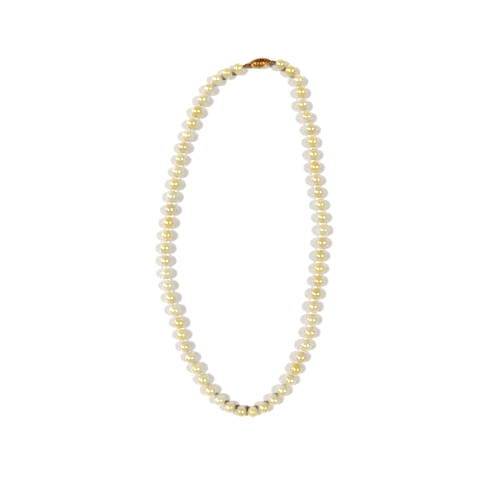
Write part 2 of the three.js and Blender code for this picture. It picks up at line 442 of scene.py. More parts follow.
@dataclass(frozen=True)
class NacreFinish:
    """Nacre of one tone: satin mother-of-pearl under a clear glossy skin.

    Attributes:
        slot: Material slot in the record; not used.
        body: Main colour.
        cloud: Colour that drifts through it.
        blush: Pigment that gathers near a drill hole and in small flecks.
        clouds: Drifts of the cloud colour per metre.
        flecks: Flecks of pigment per metre.
        dimples: Dimples in the skin per metre.
        dimple_depth: Their depth, in metres.
        ring_depth: Depth of the growth rings, in metres.
    """

    slot: str
    body: tuple[float, float, float]
    cloud: tuple[float, float, float]
    blush: tuple[float, float, float]
    clouds: float = 150.0
    flecks: float = 1400.0
    dimples: float = 700.0
    dimple_depth: float = 0.000006
    ring_depth: float = 0.000008

    def material(self, name: str) -> bpy.types.Material:
        """Builds the nacre.

        Args:
            name: Material name.

        Returns:
            The material.
        """
        shader = Shader(name)
        drift = shader.spread(shader.noise(self.clouds, 1.0), 0.3, 0.7)
        colour = shader.mixed(drift, self.body, self.cloud)
        flecks = shader.spread(shader.noise(self.flecks, 3.0), 0.5, 1.1)
        colour = shader.mixed(flecks, colour, self.blush)
        colour = shader.mixed(shader.attribute("blush"), colour, self.blush)
        shader.join(colour, shader.surface.inputs["Base Color"])
        shader.set(Metallic=0.0, Roughness=0.36, Specular_IOR_Level=1.0, Diffuse_Roughness=1.0)
        shader.set(Coat_Weight=1.0, Coat_Roughness=0.16, Coat_IOR=2.1)
        shader.set(Thin_Film_Thickness=338.0, Thin_Film_IOR=1.5)
        shader.set(Subsurface_Weight=0.1, Subsurface_Scale=0.0015, Subsurface_Radius=(1.0, 0.75, 0.25))
        shader.bumped(shader.attribute("ring"), self.ring_depth)
        shader.bumped(shader.noise(self.dimples, 1.0), self.dimple_depth)
        return shader.material


class Tone(Enum):
    """Tones that the pearls were sorted into, each with its finish."""

    PALE = NacreFinish("pearl_pale", (0.60, 0.56, 0.37), (0.57, 0.51, 0.30), (0.55, 0.42, 0.15))
    CREAM = NacreFinish("pearl_cream", (0.58, 0.52, 0.28), (0.56, 0.46, 0.22), (0.55, 0.41, 0.12))
    GREEN = NacreFinish("pearl_cream", (0.56, 0.52, 0.30), (0.54, 0.46, 0.22), (0.52, 0.41, 0.11))
    ROSE = NacreFinish("pearl_peach", (0.58, 0.51, 0.29), (0.55, 0.45, 0.22), (0.53, 0.40, 0.14))
    HONEY = NacreFinish("pearl_golden", (0.55, 0.45, 0.21), (0.51, 0.41, 0.16), (0.51, 0.36, 0.06))
    GOLDEN = NacreFinish("pearl_golden", (0.59, 0.51, 0.21), (0.56, 0.44, 0.14), (0.55, 0.40, 0.05))
    DEEP = NacreFinish("pearl_golden", (0.57, 0.45, 0.14), (0.54, 0.41, 0.07), (0.55, 0.37, 0.02))


TONE_OF_LETTER = {
    "P": Tone.PALE,
    "C": Tone.CREAM,
    "V": Tone.GREEN,
    "R": Tone.ROSE,
    "H": Tone.HONEY,
    "G": Tone.GOLDEN,
    "D": Tone.DEEP,
}


@dataclass(frozen=True)
class SilkFinish:
    """Dyed silk, with its filaments and a little soiling from wear.

    Attributes:
        clean: Colour of the clean silk.
        worn: Colour where it is worn.
    """

    clean: tuple[float, float, float] = (0.80, 0.68, 0.43)
    worn: tuple[float, float, float] = (0.66, 0.50, 0.25)

    def material(self, name: str) -> bpy.types.Material:
        """Builds the silk.

        Args:
            name: Material name.

        Returns:
            The material.
        """
        shader = Shader(name)
        worn = shader.spread(shader.noise(700.0, 3.0), 0.4, 0.65)
        shader.join(shader.mixed(worn, self.clean, self.worn), shader.surface.inputs["Base Color"])
        shader.set(Roughness=0.7, Specular_IOR_Level=0.35, Sheen_Weight=0.35, Sheen_Roughness=0.4)
        shader.bumped(shader.noise(9000.0, 4.0), 0.00004)
        return shader.material


@dataclass(frozen=True)
class GoldFinish:
    """Worn yellow gold with a brown patina in its recesses.

    Attributes:
        gold: Colour of the rubbed metal.
        patina: Colour in the recesses.
        roughness: Roughness of the rubbed metal.
        reach: How far a recess is looked for, in metres.
    """

    gold: tuple[float, float, float] = (0.88, 0.45, 0.09)
    patina: tuple[float, float, float] = (0.08, 0.018, 0.006)
    roughness: float = 0.28
    reach: float = 0.0005

    def material(self, name: str) -> bpy.types.Material:
        """Builds the gold.

        Args:
            name: Material name.

        Returns:
            The material.
        """
        shader = Shader(name)
        recess = shader.add("ShaderNodeAmbientOcclusion", samples=8)
        recess.inputs["Distance"].default_value = self.reach
        open_air = shader.spread(recess.outputs["AO"], 0.35, 0.9)
        wear = shader.mixed(shader.spread(shader.noise(1500.0, 3.0), 0.4, 0.7), self.gold, self.patina)
        tarnished = shader.mixed(shader.spread(shader.noise(400.0), 0.35, 1.3), self.gold, wear)
        shader.join(shader.mixed(open_air, self.patina, tarnished), shader.surface.inputs["Base Color"])
        shader.set(Metallic=1.0, Roughness=self.roughness)
        shader.bumped(shader.noise(3500.0, 3.0), 0.00005)
        return shader.material


@dataclass(frozen=True)
class Finishes:
    """Every material of the necklace.

    Attributes:
        nacre: One material per tone.
        silk: The cord.
        gimp: The browned silk of the loops at the clasp.
        gold: The clasp's polished gold.
        brown: The tarnished gold of the hook and the end ring.
        dark: Painted shade: a near-black gold for the sheet under the dome's openwork, standing in for the
            shade inside the shell.
    """

    nacre: dict[Tone, bpy.types.Material]
    silk: bpy.types.Material
    gimp: bpy.types.Material
    gold: bpy.types.Material
    brown: bpy.types.Material
    dark: bpy.types.Material

    @classmethod
    def made(cls) -> "Finishes":
        """Builds every material.

        Returns:
            The set of them.
        """
        nacre = {tone: tone.value.material(f"nacre_{tone.name.lower()}") for tone in Tone}
        brown = GoldFinish(gold=(0.34, 0.11, 0.022), patina=(0.05, 0.01, 0.003), roughness=0.3)
        # Painted shade: near-black gold for the sheet under the dome's openwork.
        inside = GoldFinish(gold=(0.10, 0.016, 0.004), patina=(0.035, 0.005, 0.002), roughness=0.6)
        gimp = SilkFinish(clean=(0.24, 0.09, 0.025), worn=(0.09, 0.03, 0.01))
        materials = (finish.material(name) for name, finish in (
            ("silk", SilkFinish()), ("silk_gimp", gimp),
            ("gold", GoldFinish()), ("gold_brown", brown), ("gold_painted_shade", inside)))
        return cls(nacre, *materials)


# ---- The strand -------------------------------------------------------------------------------


@dataclass(frozen=True)
class StrandSizes:
    """Sizes of the strand, in millimetres.

    Attributes:
        silk_showing: Silk between two pearls.
        bore: Radius of a pearl's drill hole.
        lip: Rounding of the hole's edge.
        cord: Radius of the silk cord.
        cord_lay: Length of one turn of its twist.
        cord_in_pearl: How far each knot's cord reaches into a pearl.
        knot_radius: Reach of a knot from the cord's line.
        knot_length: Length of a knot along the cord.
        knot_cord: Radius of the cord where the knot pulls it tight.
        silk_height: Height of the silk at the clasp.
    """

    silk_showing: float = 0.62
    bore: float = 0.38
    lip: float = 0.05
    cord: float = 0.3
    cord_lay: float = 0.9
    cord_in_pearl: float = 1.1
    knot_radius: float = 0.42
    knot_length: float = 0.5
    knot_cord: float = 0.2
    silk_height: float = 3.15


@dataclass(frozen=True)
class StrungPearl:
    """Where one pearl sits on the silk.

    Attributes:
        index: Place in stringing order, from the hook's end.
        centre: Its centre, in metres.
        axis: Unit direction of its drill hole, towards the next pearl.
        radius: Its radius, in metres.
        node: CAD node it belongs to.
        body: CAD body it moves with.
    """

    index: int
    centre: np.ndarray
    axis: np.ndarray
    radius: float
    node: str
    body: str

    @property
    def name(self) -> str:
        """Name by side and number, as counted from the clasp.

        Returns:
            The name, such as pearl_left_01.
        """
        left = self.index < len(ROUTE)
        number = self.index + 1 if left else 2 * len(ROUTE) - 1 - self.index
        return f"pearl_{'left' if left else 'right'}_{number:02d}"

    def hole(self, side: int) -> np.ndarray:
        """The drill hole's mouth.

        Args:
            side: 1 towards the next pearl, -1 towards the one before.

        Returns:
            The mouth's middle, in metres.
        """
        return self.centre + side * self.radius * self.axis


class Strand:
    """The row of pearls and the knotted silk cord that carries them."""

    PROFILE_STEPS = 40
    SIDES = 48
    KNOT_STEPS = 72
    LEAD_STEPS = 8
    FULL_TURN = 6.28
    # How far a pearl swells off round, as a share of its radius, and the waves that it does it in.
    OFF_ROUND = 0.011
    WAVES = (1.3, 2.1, 3.2)
    # The blush patch: its amount, its scatter and lift off the drill line, and its faded edge.
    BLUSH_AMOUNT = (0.2, 0.85)
    BLUSH_SCATTER = 0.45
    BLUSH_LIFT = 0.25
    BLUSH_EDGE = -0.1
    STRONG_BLUSH = {
        "pearl_right_10": 1.0,
        "pearl_right_17": 0.8,
        "pearl_right_20": 0.7,
        "pearl_left_06": 0.7,
    }
    # Growth rings, in radians per radius of the pearl.
    RING_PITCH = (9.0, 17.0)
    # Where the knot's curve ends, and where it starts to settle into the straight cord.
    KNOT_END = 2.05
    KNOT_SETTLES = 1.5

    def __init__(self, sizes: StrandSizes, finishes: Finishes) -> None:
        """Lays the pearls out.

        Args:
            sizes: Sizes of the strand.
            finishes: Materials to dress it in.
        """
        self.sizes = sizes
        self.finishes = finishes
        self.random = np.random.default_rng(18)
        self.pearls = self._strung()

    def build(self) -> None:
        """Builds every pearl and every knot."""
        for pearl in self.pearls:
            self._add_pearl(pearl)
        for before, after in zip(self.pearls[:-1], self.pearls[1:]):
            self._add_knot(before, after)

    def _strung(self) -> list[StrungPearl]:
        """Works out each pearl's place, size and direction from the route.

        Pearls alternate between the route's points and the smooth curve between them, which is
        9/16 of the two points beside it less 1/16 of the two beyond. Each pearl is as large as
        the spacing on either side of it allows.

        Returns:
            The pearls in stringing order.
        """
        route = np.array(ROUTE)
        padded = np.vstack([CLASP_MIDDLE, route, CLASP_MIDDLE])
        between = 9 / 16 * (route[:-1] + route[1:]) - 1 / 16 * (padded[:-3] + padded[3:])
        centres = np.empty((2 * len(route) - 1, 2))
        centres[0::2], centres[1::2] = route, between
        pitch = np.linalg.norm(np.diff(centres, axis=0), axis=1)
        spacing = np.concatenate([pitch[:1], (pitch[:-1] + pitch[1:]) / 2, pitch[-1:]])
        radii = (spacing - self.sizes.silk_showing) / 2
        neighbours = np.vstack([HOOK_EYE, centres, END_RING])
        axes = unit(neighbours[2:] - neighbours[:-2])
        pearls = []
        for index, (centre, axis, radius) in enumerate(zip(centres, axes, radii)):
            node = self._node(index)
            body = body_of(frame["nodes"][node])[0]
            place = np.array([*centre, radius]) * MM
            pearls.append(StrungPearl(index, place, np.array([*axis, 0.0]), radius * MM, node, body))
        return pearls

    @staticmethod
    def _node(index: int) -> str:
        """Finds the CAD node that holds a pearl, alone or in a short run.

        Args:
            index: The pearl's place in stringing order.

        Returns:
            The node's name.
        """
        left = index < len(ROUTE)
        side = "left" if left else "right"
        number = index + 1 if left else 2 * len(ROUTE) - 1 - index
        for node in frame["nodes"]:
            words = node.split("_")
            if words[0] == "pearls" and words[1] == side and int(words[2]) <= number <= int(words[3]):
                return node
        return f"pearl_{side}_{number:02d}"

    def _add_pearl(self, pearl: StrungPearl) -> None:
        """Builds one drilled pearl, dresses it and puts it on its body.

        Args:
            pearl: The pearl.
        """
        tone = TONE_OF_LETTER[TONE_ORDER[pearl.index]]
        piece = Piece(f"nacre_{pearl.name}", [self._pearl_surface(pearl)])
        made = piece.dressed(self.finishes.nacre[tone])
        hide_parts(pearl.node)
        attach(made, pearl.body)

    def _pearl_surface(self, pearl: StrungPearl) -> Grid:
        """A near-round pearl with its drill hole right through.

        The outer face is a sphere from one mouth to the other. Its distance from the middle
        swells and dips by a few long waves, so no two pearls are alike. The mouths' edges are
        rounded and the bore runs straight between them. The whole is set down on the table.

        Args:
            pearl: The pearl.

        Returns:
            The closed surface, with how much blush and growth ring it has at each point.
        """
        radius, bore, lip = pearl.radius, self.sizes.bore * MM, self.sizes.lip * MM
        start = math.asin((bore + lip) / radius)
        angle = np.linspace(start, np.pi - start, self.PROFILE_STEPS)
        outer = radius * np.stack([np.cos(angle), np.sin(angle)], axis=1)
        mouth = radius * math.cos(start) - lip
        inner = np.array([[-mouth, bore], [-mouth / 2, bore], [0.0, bore], [mouth / 2, bore], [mouth, bore]])
        profile = np.vstack([outer, inner])
        points = turned(profile, np.zeros(3), pearl.axis, self.SIDES)
        directions = unit(points)
        swell = np.ones(points.shape[:2])
        for wave in self.WAVES:
            heading = unit(self.random.normal(size=3))
            phase = self.random.uniform(0, self.FULL_TURN)
            swell += self.OFF_ROUND / wave * np.cos(wave * (directions @ heading) * 2 + phase)
        swell[self.PROFILE_STEPS:] = 1.0
        points = points * swell[..., None]
        points[..., 2] -= points[..., 2].min()
        along = np.broadcast_to((profile[:, 0] / radius)[:, None], points.shape[:2])
        values = {"blush": self._blush(directions, pearl), "ring": self._rings(along)}
        return Grid(points + [pearl.centre[0], pearl.centre[1], 0.0], rows_meet=True, values=values)

    def _blush(self, directions: np.ndarray, pearl: StrungPearl) -> np.ndarray:
        """Share of pigment: most at one patch near a drill hole, fading out over the pearl.

        Args:
            directions: Unit direction of each point from the pearl's middle.
            pearl: The pearl.

        Returns:
            The share at each point.
        """
        end = self.random.choice([-1.0, 1.0])
        lean = self.random.normal(scale=self.BLUSH_SCATTER, size=3)
        amount = self.random.uniform(*self.BLUSH_AMOUNT)
        heading = unit(end * pearl.axis + lean + self.BLUSH_LIFT * UP)
        near = smoothly(directions @ heading, self.BLUSH_EDGE, 1.0)
        return self.STRONG_BLUSH.get(pearl.name, amount) * near

    def _rings(self, along: np.ndarray) -> np.ndarray:
        """Faint growth rings about the drill hole, as a height from 0 to 1.

        Args:
            along: Place along the drill hole, from -1 to 1.

        Returns:
            The height at each point.
        """
        phase, pitch = self.random.uniform(0, self.FULL_TURN), self.random.uniform(*self.RING_PITCH)
        return 0.5 + 0.3 * np.sin(pitch * along + phase) + 0.2 * np.sin(1.7 * pitch * along - phase)

    def _add_knot(self, before: StrungPearl, after: StrungPearl) -> None:
        """Ties the silk between two pearls and lets it bend if their bodies differ.

        Args:
            before: The pearl that the knot is tied against.
            after: The next pearl.
        """
        start, end = before.hole(1), after.hole(-1)
        knot = Grid(self._knot_surface(start, end))
        made = Piece(f"silk_knot_{before.index + 1:02d}", [knot]).dressed(self.finishes.silk)
        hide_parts(before.node)
        if before.body == after.body:
            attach(made, before.body)
            return
        middle, reach = (start + end) / 2, (end - start) / 2
        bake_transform(made, before.body, after.body, tuple(middle - 0.8 * reach), tuple(middle + 0.8 * reach))

    def _knot_surface(self, start: np.ndarray, end: np.ndarray) -> np.ndarray:
        """An overhand knot pulled tight, with its cord running on into both drill holes.

        For a number t from -2 to 2, the open overhand knot goes along the cord as t cubed less
        3t, and across it as t to the fourth less 4t squared and t to the fifth less 10t. Both
        ways across fade to nothing at the ends, where the cord enters the pearls.

        Args:
            start: Mouth that the cord leaves.
            end: Mouth that it enters.

        Returns:
            Points of the swept cord.
        """
        axis = unit(end - start)
        across = unit(np.cross(axis, UP))
        over = np.cross(across, axis)
        middle = (start + end) / 2
        t = np.linspace(-self.KNOT_END, self.KNOT_END, self.KNOT_STEPS)
        fade = 1 - smoothly(np.abs(t), self.KNOT_SETTLES, self.KNOT_END)
        size = self.sizes
        advance = (t**3 - 3 * t) / 2.0 * size.knot_length / 2 * MM
        wide = (t**4 - 4 * t**2 + 2) / 2.0 * size.knot_radius * MM * fade
        high = (t**5 - 10 * t) / 9.6 * size.knot_radius * MM * fade
        knot = middle + advance[:, None] * axis + wide[:, None] * across + high[:, None] * over
        run = np.linspace(0.0, 1.0, self.LEAD_STEPS)[:-1, None]
        lead = start - size.cord_in_pearl * MM * axis
        tail = end + size.cord_in_pearl * MM * axis
        path = np.vstack([lead + run * (knot[0] - lead), knot, tail + run[::-1] * (knot[-1] - tail)])
        width = np.full(len(path), size.knot_cord * MM)
        width[: len(run)] = width[-len(run) :] = size.cord * MM
        return swept(path, width, sides=10, plies=2, lay=size.cord_lay * MM)


# ---- The clasp --------------------------------------------------------------------------------


@dataclass(frozen=True)
class ClaspSizes:
    """Sizes of the clasp, in millimetres, along, across and above its own middle line.

    Attributes:
        roll: Lean of the clasp on the table, in degrees.
        centre: Middle of the shell along and across.
        half_length: Half the shell's length.
        half_width: Half the shell's width.
        dome_rise: Height of the dome.
        base_drop: Depth of the base.
        seam: Half the gap between dome and base.
        ring_radius: Radius of the end ring and of the hook's eye.
        ring_wire: Radius of their wire.
        loop_radius: Radius of a silk loop.
        loop_silk: Radius of its silk.
        end_clearance: Silk between an end pearl and its loop.
        hook_across: Place of the hook across the clasp.
        hook_width: Width of the hook's stem.
        hook_thickness: Thickness of the stem.
        hook_tip: Place of the hook's tip along the clasp.
        tab: Place of the thumb tab along the clasp.
        tab_height: Height of the tab.
        leaf_thickness: Thickness of the springy leaf.
        leaf_rise: How far the leaf stands up at its free end.
        leaf_end: Place of the free end along the clasp.
        catch: Place of the catch bar along the clasp.
        catch_radius: Radius of the bar.
        catch_reach: Half the bar's length.
    """

    roll: float = 22.0
    centre: tuple[float, float] = (9.7, 1.0)
    half_length: float = 6.3
    half_width: float = 2.95
    dome_rise: float = 1.9
    base_drop: float = 1.5
    seam: float = 0.1
    ring_radius: float = 0.74
    ring_wire: float = 0.25
    loop_radius: float = 0.5
    loop_silk: float = 0.14
    end_clearance: float = 0.45
    hook_across: float = 0.45
    hook_width: float = 1.3
    hook_thickness: float = 0.5
    hook_tip: float = 12.6
    tab: float = 2.9
    tab_height: float = 1.6
    leaf_thickness: float = 0.22
    leaf_rise: float = 0.35
    leaf_end: float = 7.9
    catch: float = 7.1
    catch_radius: float = 0.22
    catch_reach: float = 0.9


class Clasp:
    """A fish-hook clasp: a pierced navette shell with an end ring, and the hook inside it."""

    # How pointed the oval's tips are, and how much further a wire keeps from them.
    OVAL_POINT = 0.6
    TIP_INSET = 1.7
    # Each wire lies at an inset from the shell's edge and a height, and has a radius.
    RIM_ROPE = (0.3, 0.38, 0.31)
    RIM_WIRE = (0.78, 0.82, 0.14)
    BASE_EDGE = (0.12, -0.12, 0.12)
    ROPE_LAY = 1.3
    RIB_PLACES = np.linspace(-3.75, 3.75, 6)
    RIB_REACH = 0.86
    RIB_LEAN = 0.75
    RIB_BEND = 0.15
    RIB_WIRE = 0.2
    SCROLL_PLACES = np.linspace(-3.0, 3.0, 5)
    SCROLL_OFFSET = 0.24
    SCROLL_SHARE = 0.48
    SCROLL_TURNS = 1.6
    SCROLL_WIRE = 0.12
    CREST_GRAIN = 0.24
    SCROLL_GRAIN = 0.15
    # How much heavier than the wire of its core the dressed ring is.
    RING_BULK = 1.5
    # The solder collar: where it starts and ends before the ring's middle, and its radius.
    SOLDER = (0.7, 1.35, 0.34)
    TAB_THICKNESS = 0.24
    # The silk at the rings: its radius, the legs' height at the tie, and the tie's own turns.
    LOOP_CORD = 0.24
    TAIL_HEIGHT = 0.12
    LOOP_START = 0.35
    BINDING_TURNS = 3.5
    BINDING_PLACE = (0.16, 0.58)
    BINDING_REACH = 0.44
    BINDING_CORD = 0.18

    def __init__(self, sizes: ClaspSizes, strand: Strand) -> None:
        """Places the clasp between the strand's two ends.

        Args:
            sizes: Sizes of the clasp.
            strand: The strand that it closes.
        """
        self.sizes = sizes
        self.finishes = strand.finishes
        hook, ring = strand.pearls[0].hole(-1), strand.pearls[-1].hole(1)
        hook[2] = ring[2] = strand.sizes.silk_height * MM
        self.length = float(np.linalg.norm(ring - hook)) / MM
        lean = -math.radians(sizes.roll)
        along = unit(ring - hook)
        sideways = np.cross(UP, along)
        across = math.cos(lean) * sideways + math.sin(lean) * UP
        self.origin = hook
        self.axes = np.stack([along, across, np.cross(along, across)])
        self.eye = sizes.end_clearance + sizes.loop_radius + sizes.loop_silk + sizes.ring_radius

    def build(self) -> None:
        """Builds the shell, the hook and the silk loops."""
        self._add_dome()
        self._add_base()
        self._add_catch()
        self._add_hook()
        self._add_leaf()
        self._add_loop("silk_loop_hook", "clasp_hook", mirrored=False)
        self._add_loop("silk_loop_ring", "clasp_shell", mirrored=True)
        self._add_tie("silk_tie_hook", "left_01", mirrored=False)
        self._add_tie("silk_tie_ring", "clasp_shell", mirrored=True)

    def _placed(self, points: np.ndarray) -> np.ndarray:
        """Points along, across and above the clasp, in millimetres, as points of the frame."""
        return self.origin + MM * points @ self.axes

    def _add(
        self,
        name: str,
        grids: list[Grid],
        finish: bpy.types.Material,
        node: str,
        body: str = "clasp_shell",
    ) -> bpy.types.Object:
        """Builds a piece and puts it in place of a CAD node.

        Args:
            name: Object name.
            grids: Its closed surfaces.
            finish: Its material.
            node: CAD node that it stands for.
            body: Body that it rides on.

        Returns:
            The piece.
        """
        made = Piece(name, grids).dressed(finish)
        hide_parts(node)
        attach(made, body)
        return made

    def _tube(self, path: np.ndarray, radius: float, **options: object) -> Grid:
        """A tube along a path given along, across and above the clasp.

        Args:
            path: Points of shape (steps, 3), in millimetres.
            radius: Radius of the tube.
            **options: Passed on to swept.

        Returns:
            The closed surface.
        """
        closed = bool(options.get("closed", False))
        return Grid(swept(self._placed(path), radius * MM, **options), rows_meet=closed)

    def _grain(self, middle: np.ndarray, radius: float) -> Grid:
        """A solid bead.

        Args:
            middle: Its middle along, across and above the clasp.
            radius: Its radius.

        Returns:
            The closed surface.
        """
        angle = np.linspace(0.12, np.pi - 0.12, 9)
        profile = radius * MM * np.stack([-np.cos(angle), np.sin(angle)], axis=1)
        return Grid(turned(profile, self._placed(middle), self.axes[0], 12))

    def _half_width(self, place: np.ndarray) -> np.ndarray:
        """Half-width of the pointed oval at a place along it, measured from its middle."""
        return self.sizes.half_width * (1 - (place / self.sizes.half_length) ** 2)

    def _draped(self, place: np.ndarray, share: np.ndarray, lift: float) -> np.ndarray:
        """Points on the dome.

        Args:
            place: Distance along the shell from its middle.
            share: Share of the half-width, from -1 to 1.
            lift: Height above the dome's own surface.

        Returns:
            Points along, across and above the clasp.
        """
        sizes = self.sizes
        half = self._half_width(place)
        rise = sizes.dome_rise / sizes.half_width * half
        height = sizes.seam + lift + rise * np.sqrt(np.clip(1 - share**2, 0.0, 1.0))
        return np.stack([sizes.centre[0] + place, sizes.centre[1] + share * half, height], axis=-1)

    def _add_dome(self) -> None:
        """The dome: a rope rim, a plain wire, slanting ribs, scrolls and grains over a ground sheet of painted
        shade.
        """
        pieces = {
            "dome_rim": self._rim(),
            "dome_ribs": self._ribs(),
            "dome_scrolls": self._scrolls(),
            "dome_grains": self._grains(),
        }
        for name, grids in pieces.items():
            self._add(name, grids, self.finishes.gold, "clasp_shell_dome")
        # Painted shade: a near-black sheet under the openwork, where the inside of the shell would lie in
        # shade.
        shell = self._half_shell(0.97, 1, self.sizes.dome_rise, (0.42, 0.54))
        self._add("dome_painted_shade_ground", [shell], self.finishes.dark, "clasp_shell_dome")

    def _outline(self, inset: float, height: float, steps: int = 144) -> np.ndarray:
        """The shell's pointed outline, walked once round.

        At angle a it is along the clasp by the half-length times cos(a), and across it by the
        half-width times sin(a) times a power of its size.

        Args:
            inset: Distance inside the shell's edge.
            height: Height above the clasp's middle line.
            steps: Points round.

        Returns:
            Points along, across and above the clasp.
        """
        angle = np.linspace(0.0, 2 * np.pi, steps, endpoint=False)
        share = np.cos(angle)
        sizes = self.sizes
        half = (sizes.half_width - inset) * np.sin(angle) * np.abs(np.sin(angle)) ** self.OVAL_POINT
        place = (sizes.half_length - self.TIP_INSET * inset) * share
        path = [sizes.centre[0] + place, sizes.centre[1] + half, np.full(steps, height)]
        return np.stack(path, axis=1)

    def _rim(self) -> list[Grid]:
        """A two-strand rope round the dome's foot and a plain wire inside it.

        Returns:
            The two wires.
        """
        inset, height, radius = self.RIM_ROPE
        lay = self.ROPE_LAY * MM
        rope = self._tube(self._outline(inset, height), radius, closed=True, plies=2, lay=lay, sides=12)
        inset, height, radius = self.RIM_WIRE
        return [rope, self._tube(self._outline(inset, height), radius, closed=True)]

    def _ribs(self) -> list[Grid]:
        """Slanting ribs from rim to rim, each bent like a flat S.

        Returns:
            One wire per rib.
        """
        share = np.linspace(-self.RIB_REACH, self.RIB_REACH, 25)
        ribs = []
        for middle in self.RIB_PLACES:
            place = middle + self.RIB_LEAN * share + self.RIB_BEND * np.sin(np.pi * share)
            ribs.append(self._tube(self._draped(place, share, 0.06), self.RIB_WIRE, plies=2, lay=MM))
        return ribs

    def _scrolls(self) -> list[Grid]:
        """Pairs of wire scrolls between the ribs, each a spiral that winds in to a quarter.

        Returns:
            One wire per scroll.
        """
        turn = np.linspace(0.0, self.SCROLL_TURNS * 2 * np.pi, 40)
        scrolls = []
        for middle in self.SCROLL_PLACES:
            for side in (-1.0, 1.0):
                room = 0.24 + 0.05 * float(self._half_width(np.array(middle)))
                radius = room * (1 - 0.75 * turn / turn[-1])
                centre = middle + self.SCROLL_OFFSET * side
                place = centre + radius * np.cos(turn * side)
                half = self._half_width(place)
                share = (self.SCROLL_SHARE * side * half + radius * 1.25 * np.sin(turn * side)) / half
                scrolls.append(self._tube(self._draped(place, share, 0.1), self.SCROLL_WIRE, sides=8))
        return scrolls

    def _grains(self) -> list[Grid]:
        """Grains of gold along the crest and at each scroll's heart.

        Returns:
            One bead per grain.
        """
        grains = [(place, 0.0, self.CREST_GRAIN) for place in self.RIB_PLACES]
        for middle in self.SCROLL_PLACES:
            for side in (-1.0, 1.0):
                place = middle + self.SCROLL_OFFSET * side
                grains.append((place, self.SCROLL_SHARE * side, self.SCROLL_GRAIN))
        return [
            self._grain(self._draped(np.array(place), np.array(share), 0.1), radius)
            for place, share, radius in grains
        ]

    def _half_shell(self, reach: float, side: int, depth: float, insets: tuple[float, float]) -> Grid:
        """A thin half shell over the pointed oval, above or below the clasp's middle line.

        Half-width and depth shrink towards both tips by one less the square of the share of
        the length, and the section is half an ellipse. The inside is the same shell made smaller.

        Args:
            reach: Share of the half-length that it covers.
            side: 1 above the middle line, -1 below it.
            depth: Depth of the half shell at its middle.
            insets: How far its two faces lie inside that depth and the full width.

        Returns:
            The closed surface.
        """
        sizes = self.sizes
        share = np.linspace(-reach, reach, 40)
        fall = 1 - share**2
        angle = np.linspace(0.0, np.pi, 25) if side > 0 else np.linspace(np.pi, 2 * np.pi, 25)
        faces = []
        for inset, angles in zip(insets, (angle, angle[::-1])):
            wide = (sizes.half_width - inset) * fall[:, None] * np.cos(angles)
            high = side * sizes.seam + (depth - inset) * fall[:, None] * np.sin(angles)
            place = np.broadcast_to((sizes.centre[0] + sizes.half_length * share)[:, None], wide.shape)
            faces.append(np.stack([place, sizes.centre[1] + wide, high], axis=-1))
        return Grid(self._placed(np.concatenate(faces, axis=1)))

    def _add_base(self) -> None:
        """The plain back half of the shell with its rolled edge, and the end ring soldered on."""
        sizes = self.sizes
        shell = self._half_shell(0.985, -1, sizes.base_drop, (0.0, 0.3))
        inset, height, radius = self.BASE_EDGE
        edge = self._tube(self._outline(inset, height), radius, closed=True)
        self._add("base_shell", [shell, edge], self.finishes.gold, "clasp_shell_base")
        middle = self.length - self.eye
        near, far, radius = self.SOLDER
        ends = np.array([[middle - far, sizes.hook_across, 0.0], [middle - near, sizes.hook_across, 0.0]])
        path = ends[0] + np.linspace(0.0, 1.0, 9)[:, None] * (ends[1] - ends[0])
        grids = [self._ring(middle), self._tube(path, radius)]
        self._add("end_ring", grids, self.finishes.brown, "clasp_shell_base")

    def _ring(self, place: float) -> Grid:
        """A round ring lying flat in the clasp.

        Args:
            place: Its middle along the clasp.

        Returns:
            The closed surface.
        """
        angle = np.linspace(0.0, 2 * np.pi, 48, endpoint=False)
        sizes = self.sizes
        path = np.stack([np.cos(angle), np.sin(angle), np.zeros_like(angle)], axis=1) * sizes.ring_radius
        wire = sizes.ring_wire * self.RING_BULK
        return self._tube(path + [place, sizes.hook_across, 0.0], wire, closed=True, sides=14)

    def _add_catch(self) -> None:
        """The bar across the mouth that holds the hook's leaf."""
        sizes = self.sizes
        height = sizes.hook_thickness / 2 + sizes.catch_radius + 0.125
        reach = np.linspace(-sizes.catch_reach, sizes.catch_reach, 13)
        path = np.stack([np.full(13, sizes.catch), sizes.centre[1] + reach, np.full(13, height)], axis=1)
        bar = self._tube(path, sizes.catch_radius)
        self._add("catch_bar", [bar], self.finishes.gold, "clasp_catch_bar")

    def _add_hook(self) -> None:
        """The hook: its eye, its flat stem with a rounded tip, and the upright thumb tab."""
        sizes = self.sizes
        start = self.eye + sizes.ring_radius
        share = np.linspace(0.0, 1.0, 40)
        place = start + (sizes.hook_tip - start) * share
        path = np.stack([place, np.full(40, sizes.hook_across), np.zeros(40)], axis=1)
        taper = np.sqrt(np.clip(1 - smoothly(share, 0.93, 1.06) ** 2, 0.05, 1.0))
        neck = 1.3 - 0.3 * smoothly(share, 0.05, 0.3)
        height = sizes.hook_thickness / 2 * MM * taper
        width = sizes.hook_width / 2 * MM * taper * neck
        stem = Grid(swept(self._placed(path), height, width, sides=20, squareness=0.45))
        rise = np.linspace(0.0, 1.0, 16)
        place = sizes.tab - 0.14 * rise**2
        tab_path = np.stack([place, np.full(16, sizes.hook_across), sizes.tab_height * rise], axis=1)
        round_top = np.sqrt(np.clip(1 - smoothly(rise, 0.55, 1.05) ** 2, 0.04, 1.0))
        tab_width = 0.6 * sizes.hook_width * MM * round_top
        thickness = self.TAB_THICKNESS * MM
        tab = Grid(swept(self._placed(tab_path), thickness, tab_width, sides=16, squareness=0.6))
        grids = [self._ring(self.eye), stem, tab]
        self._add("hook", grids, self.finishes.brown, "clasp_hook", "clasp_hook")

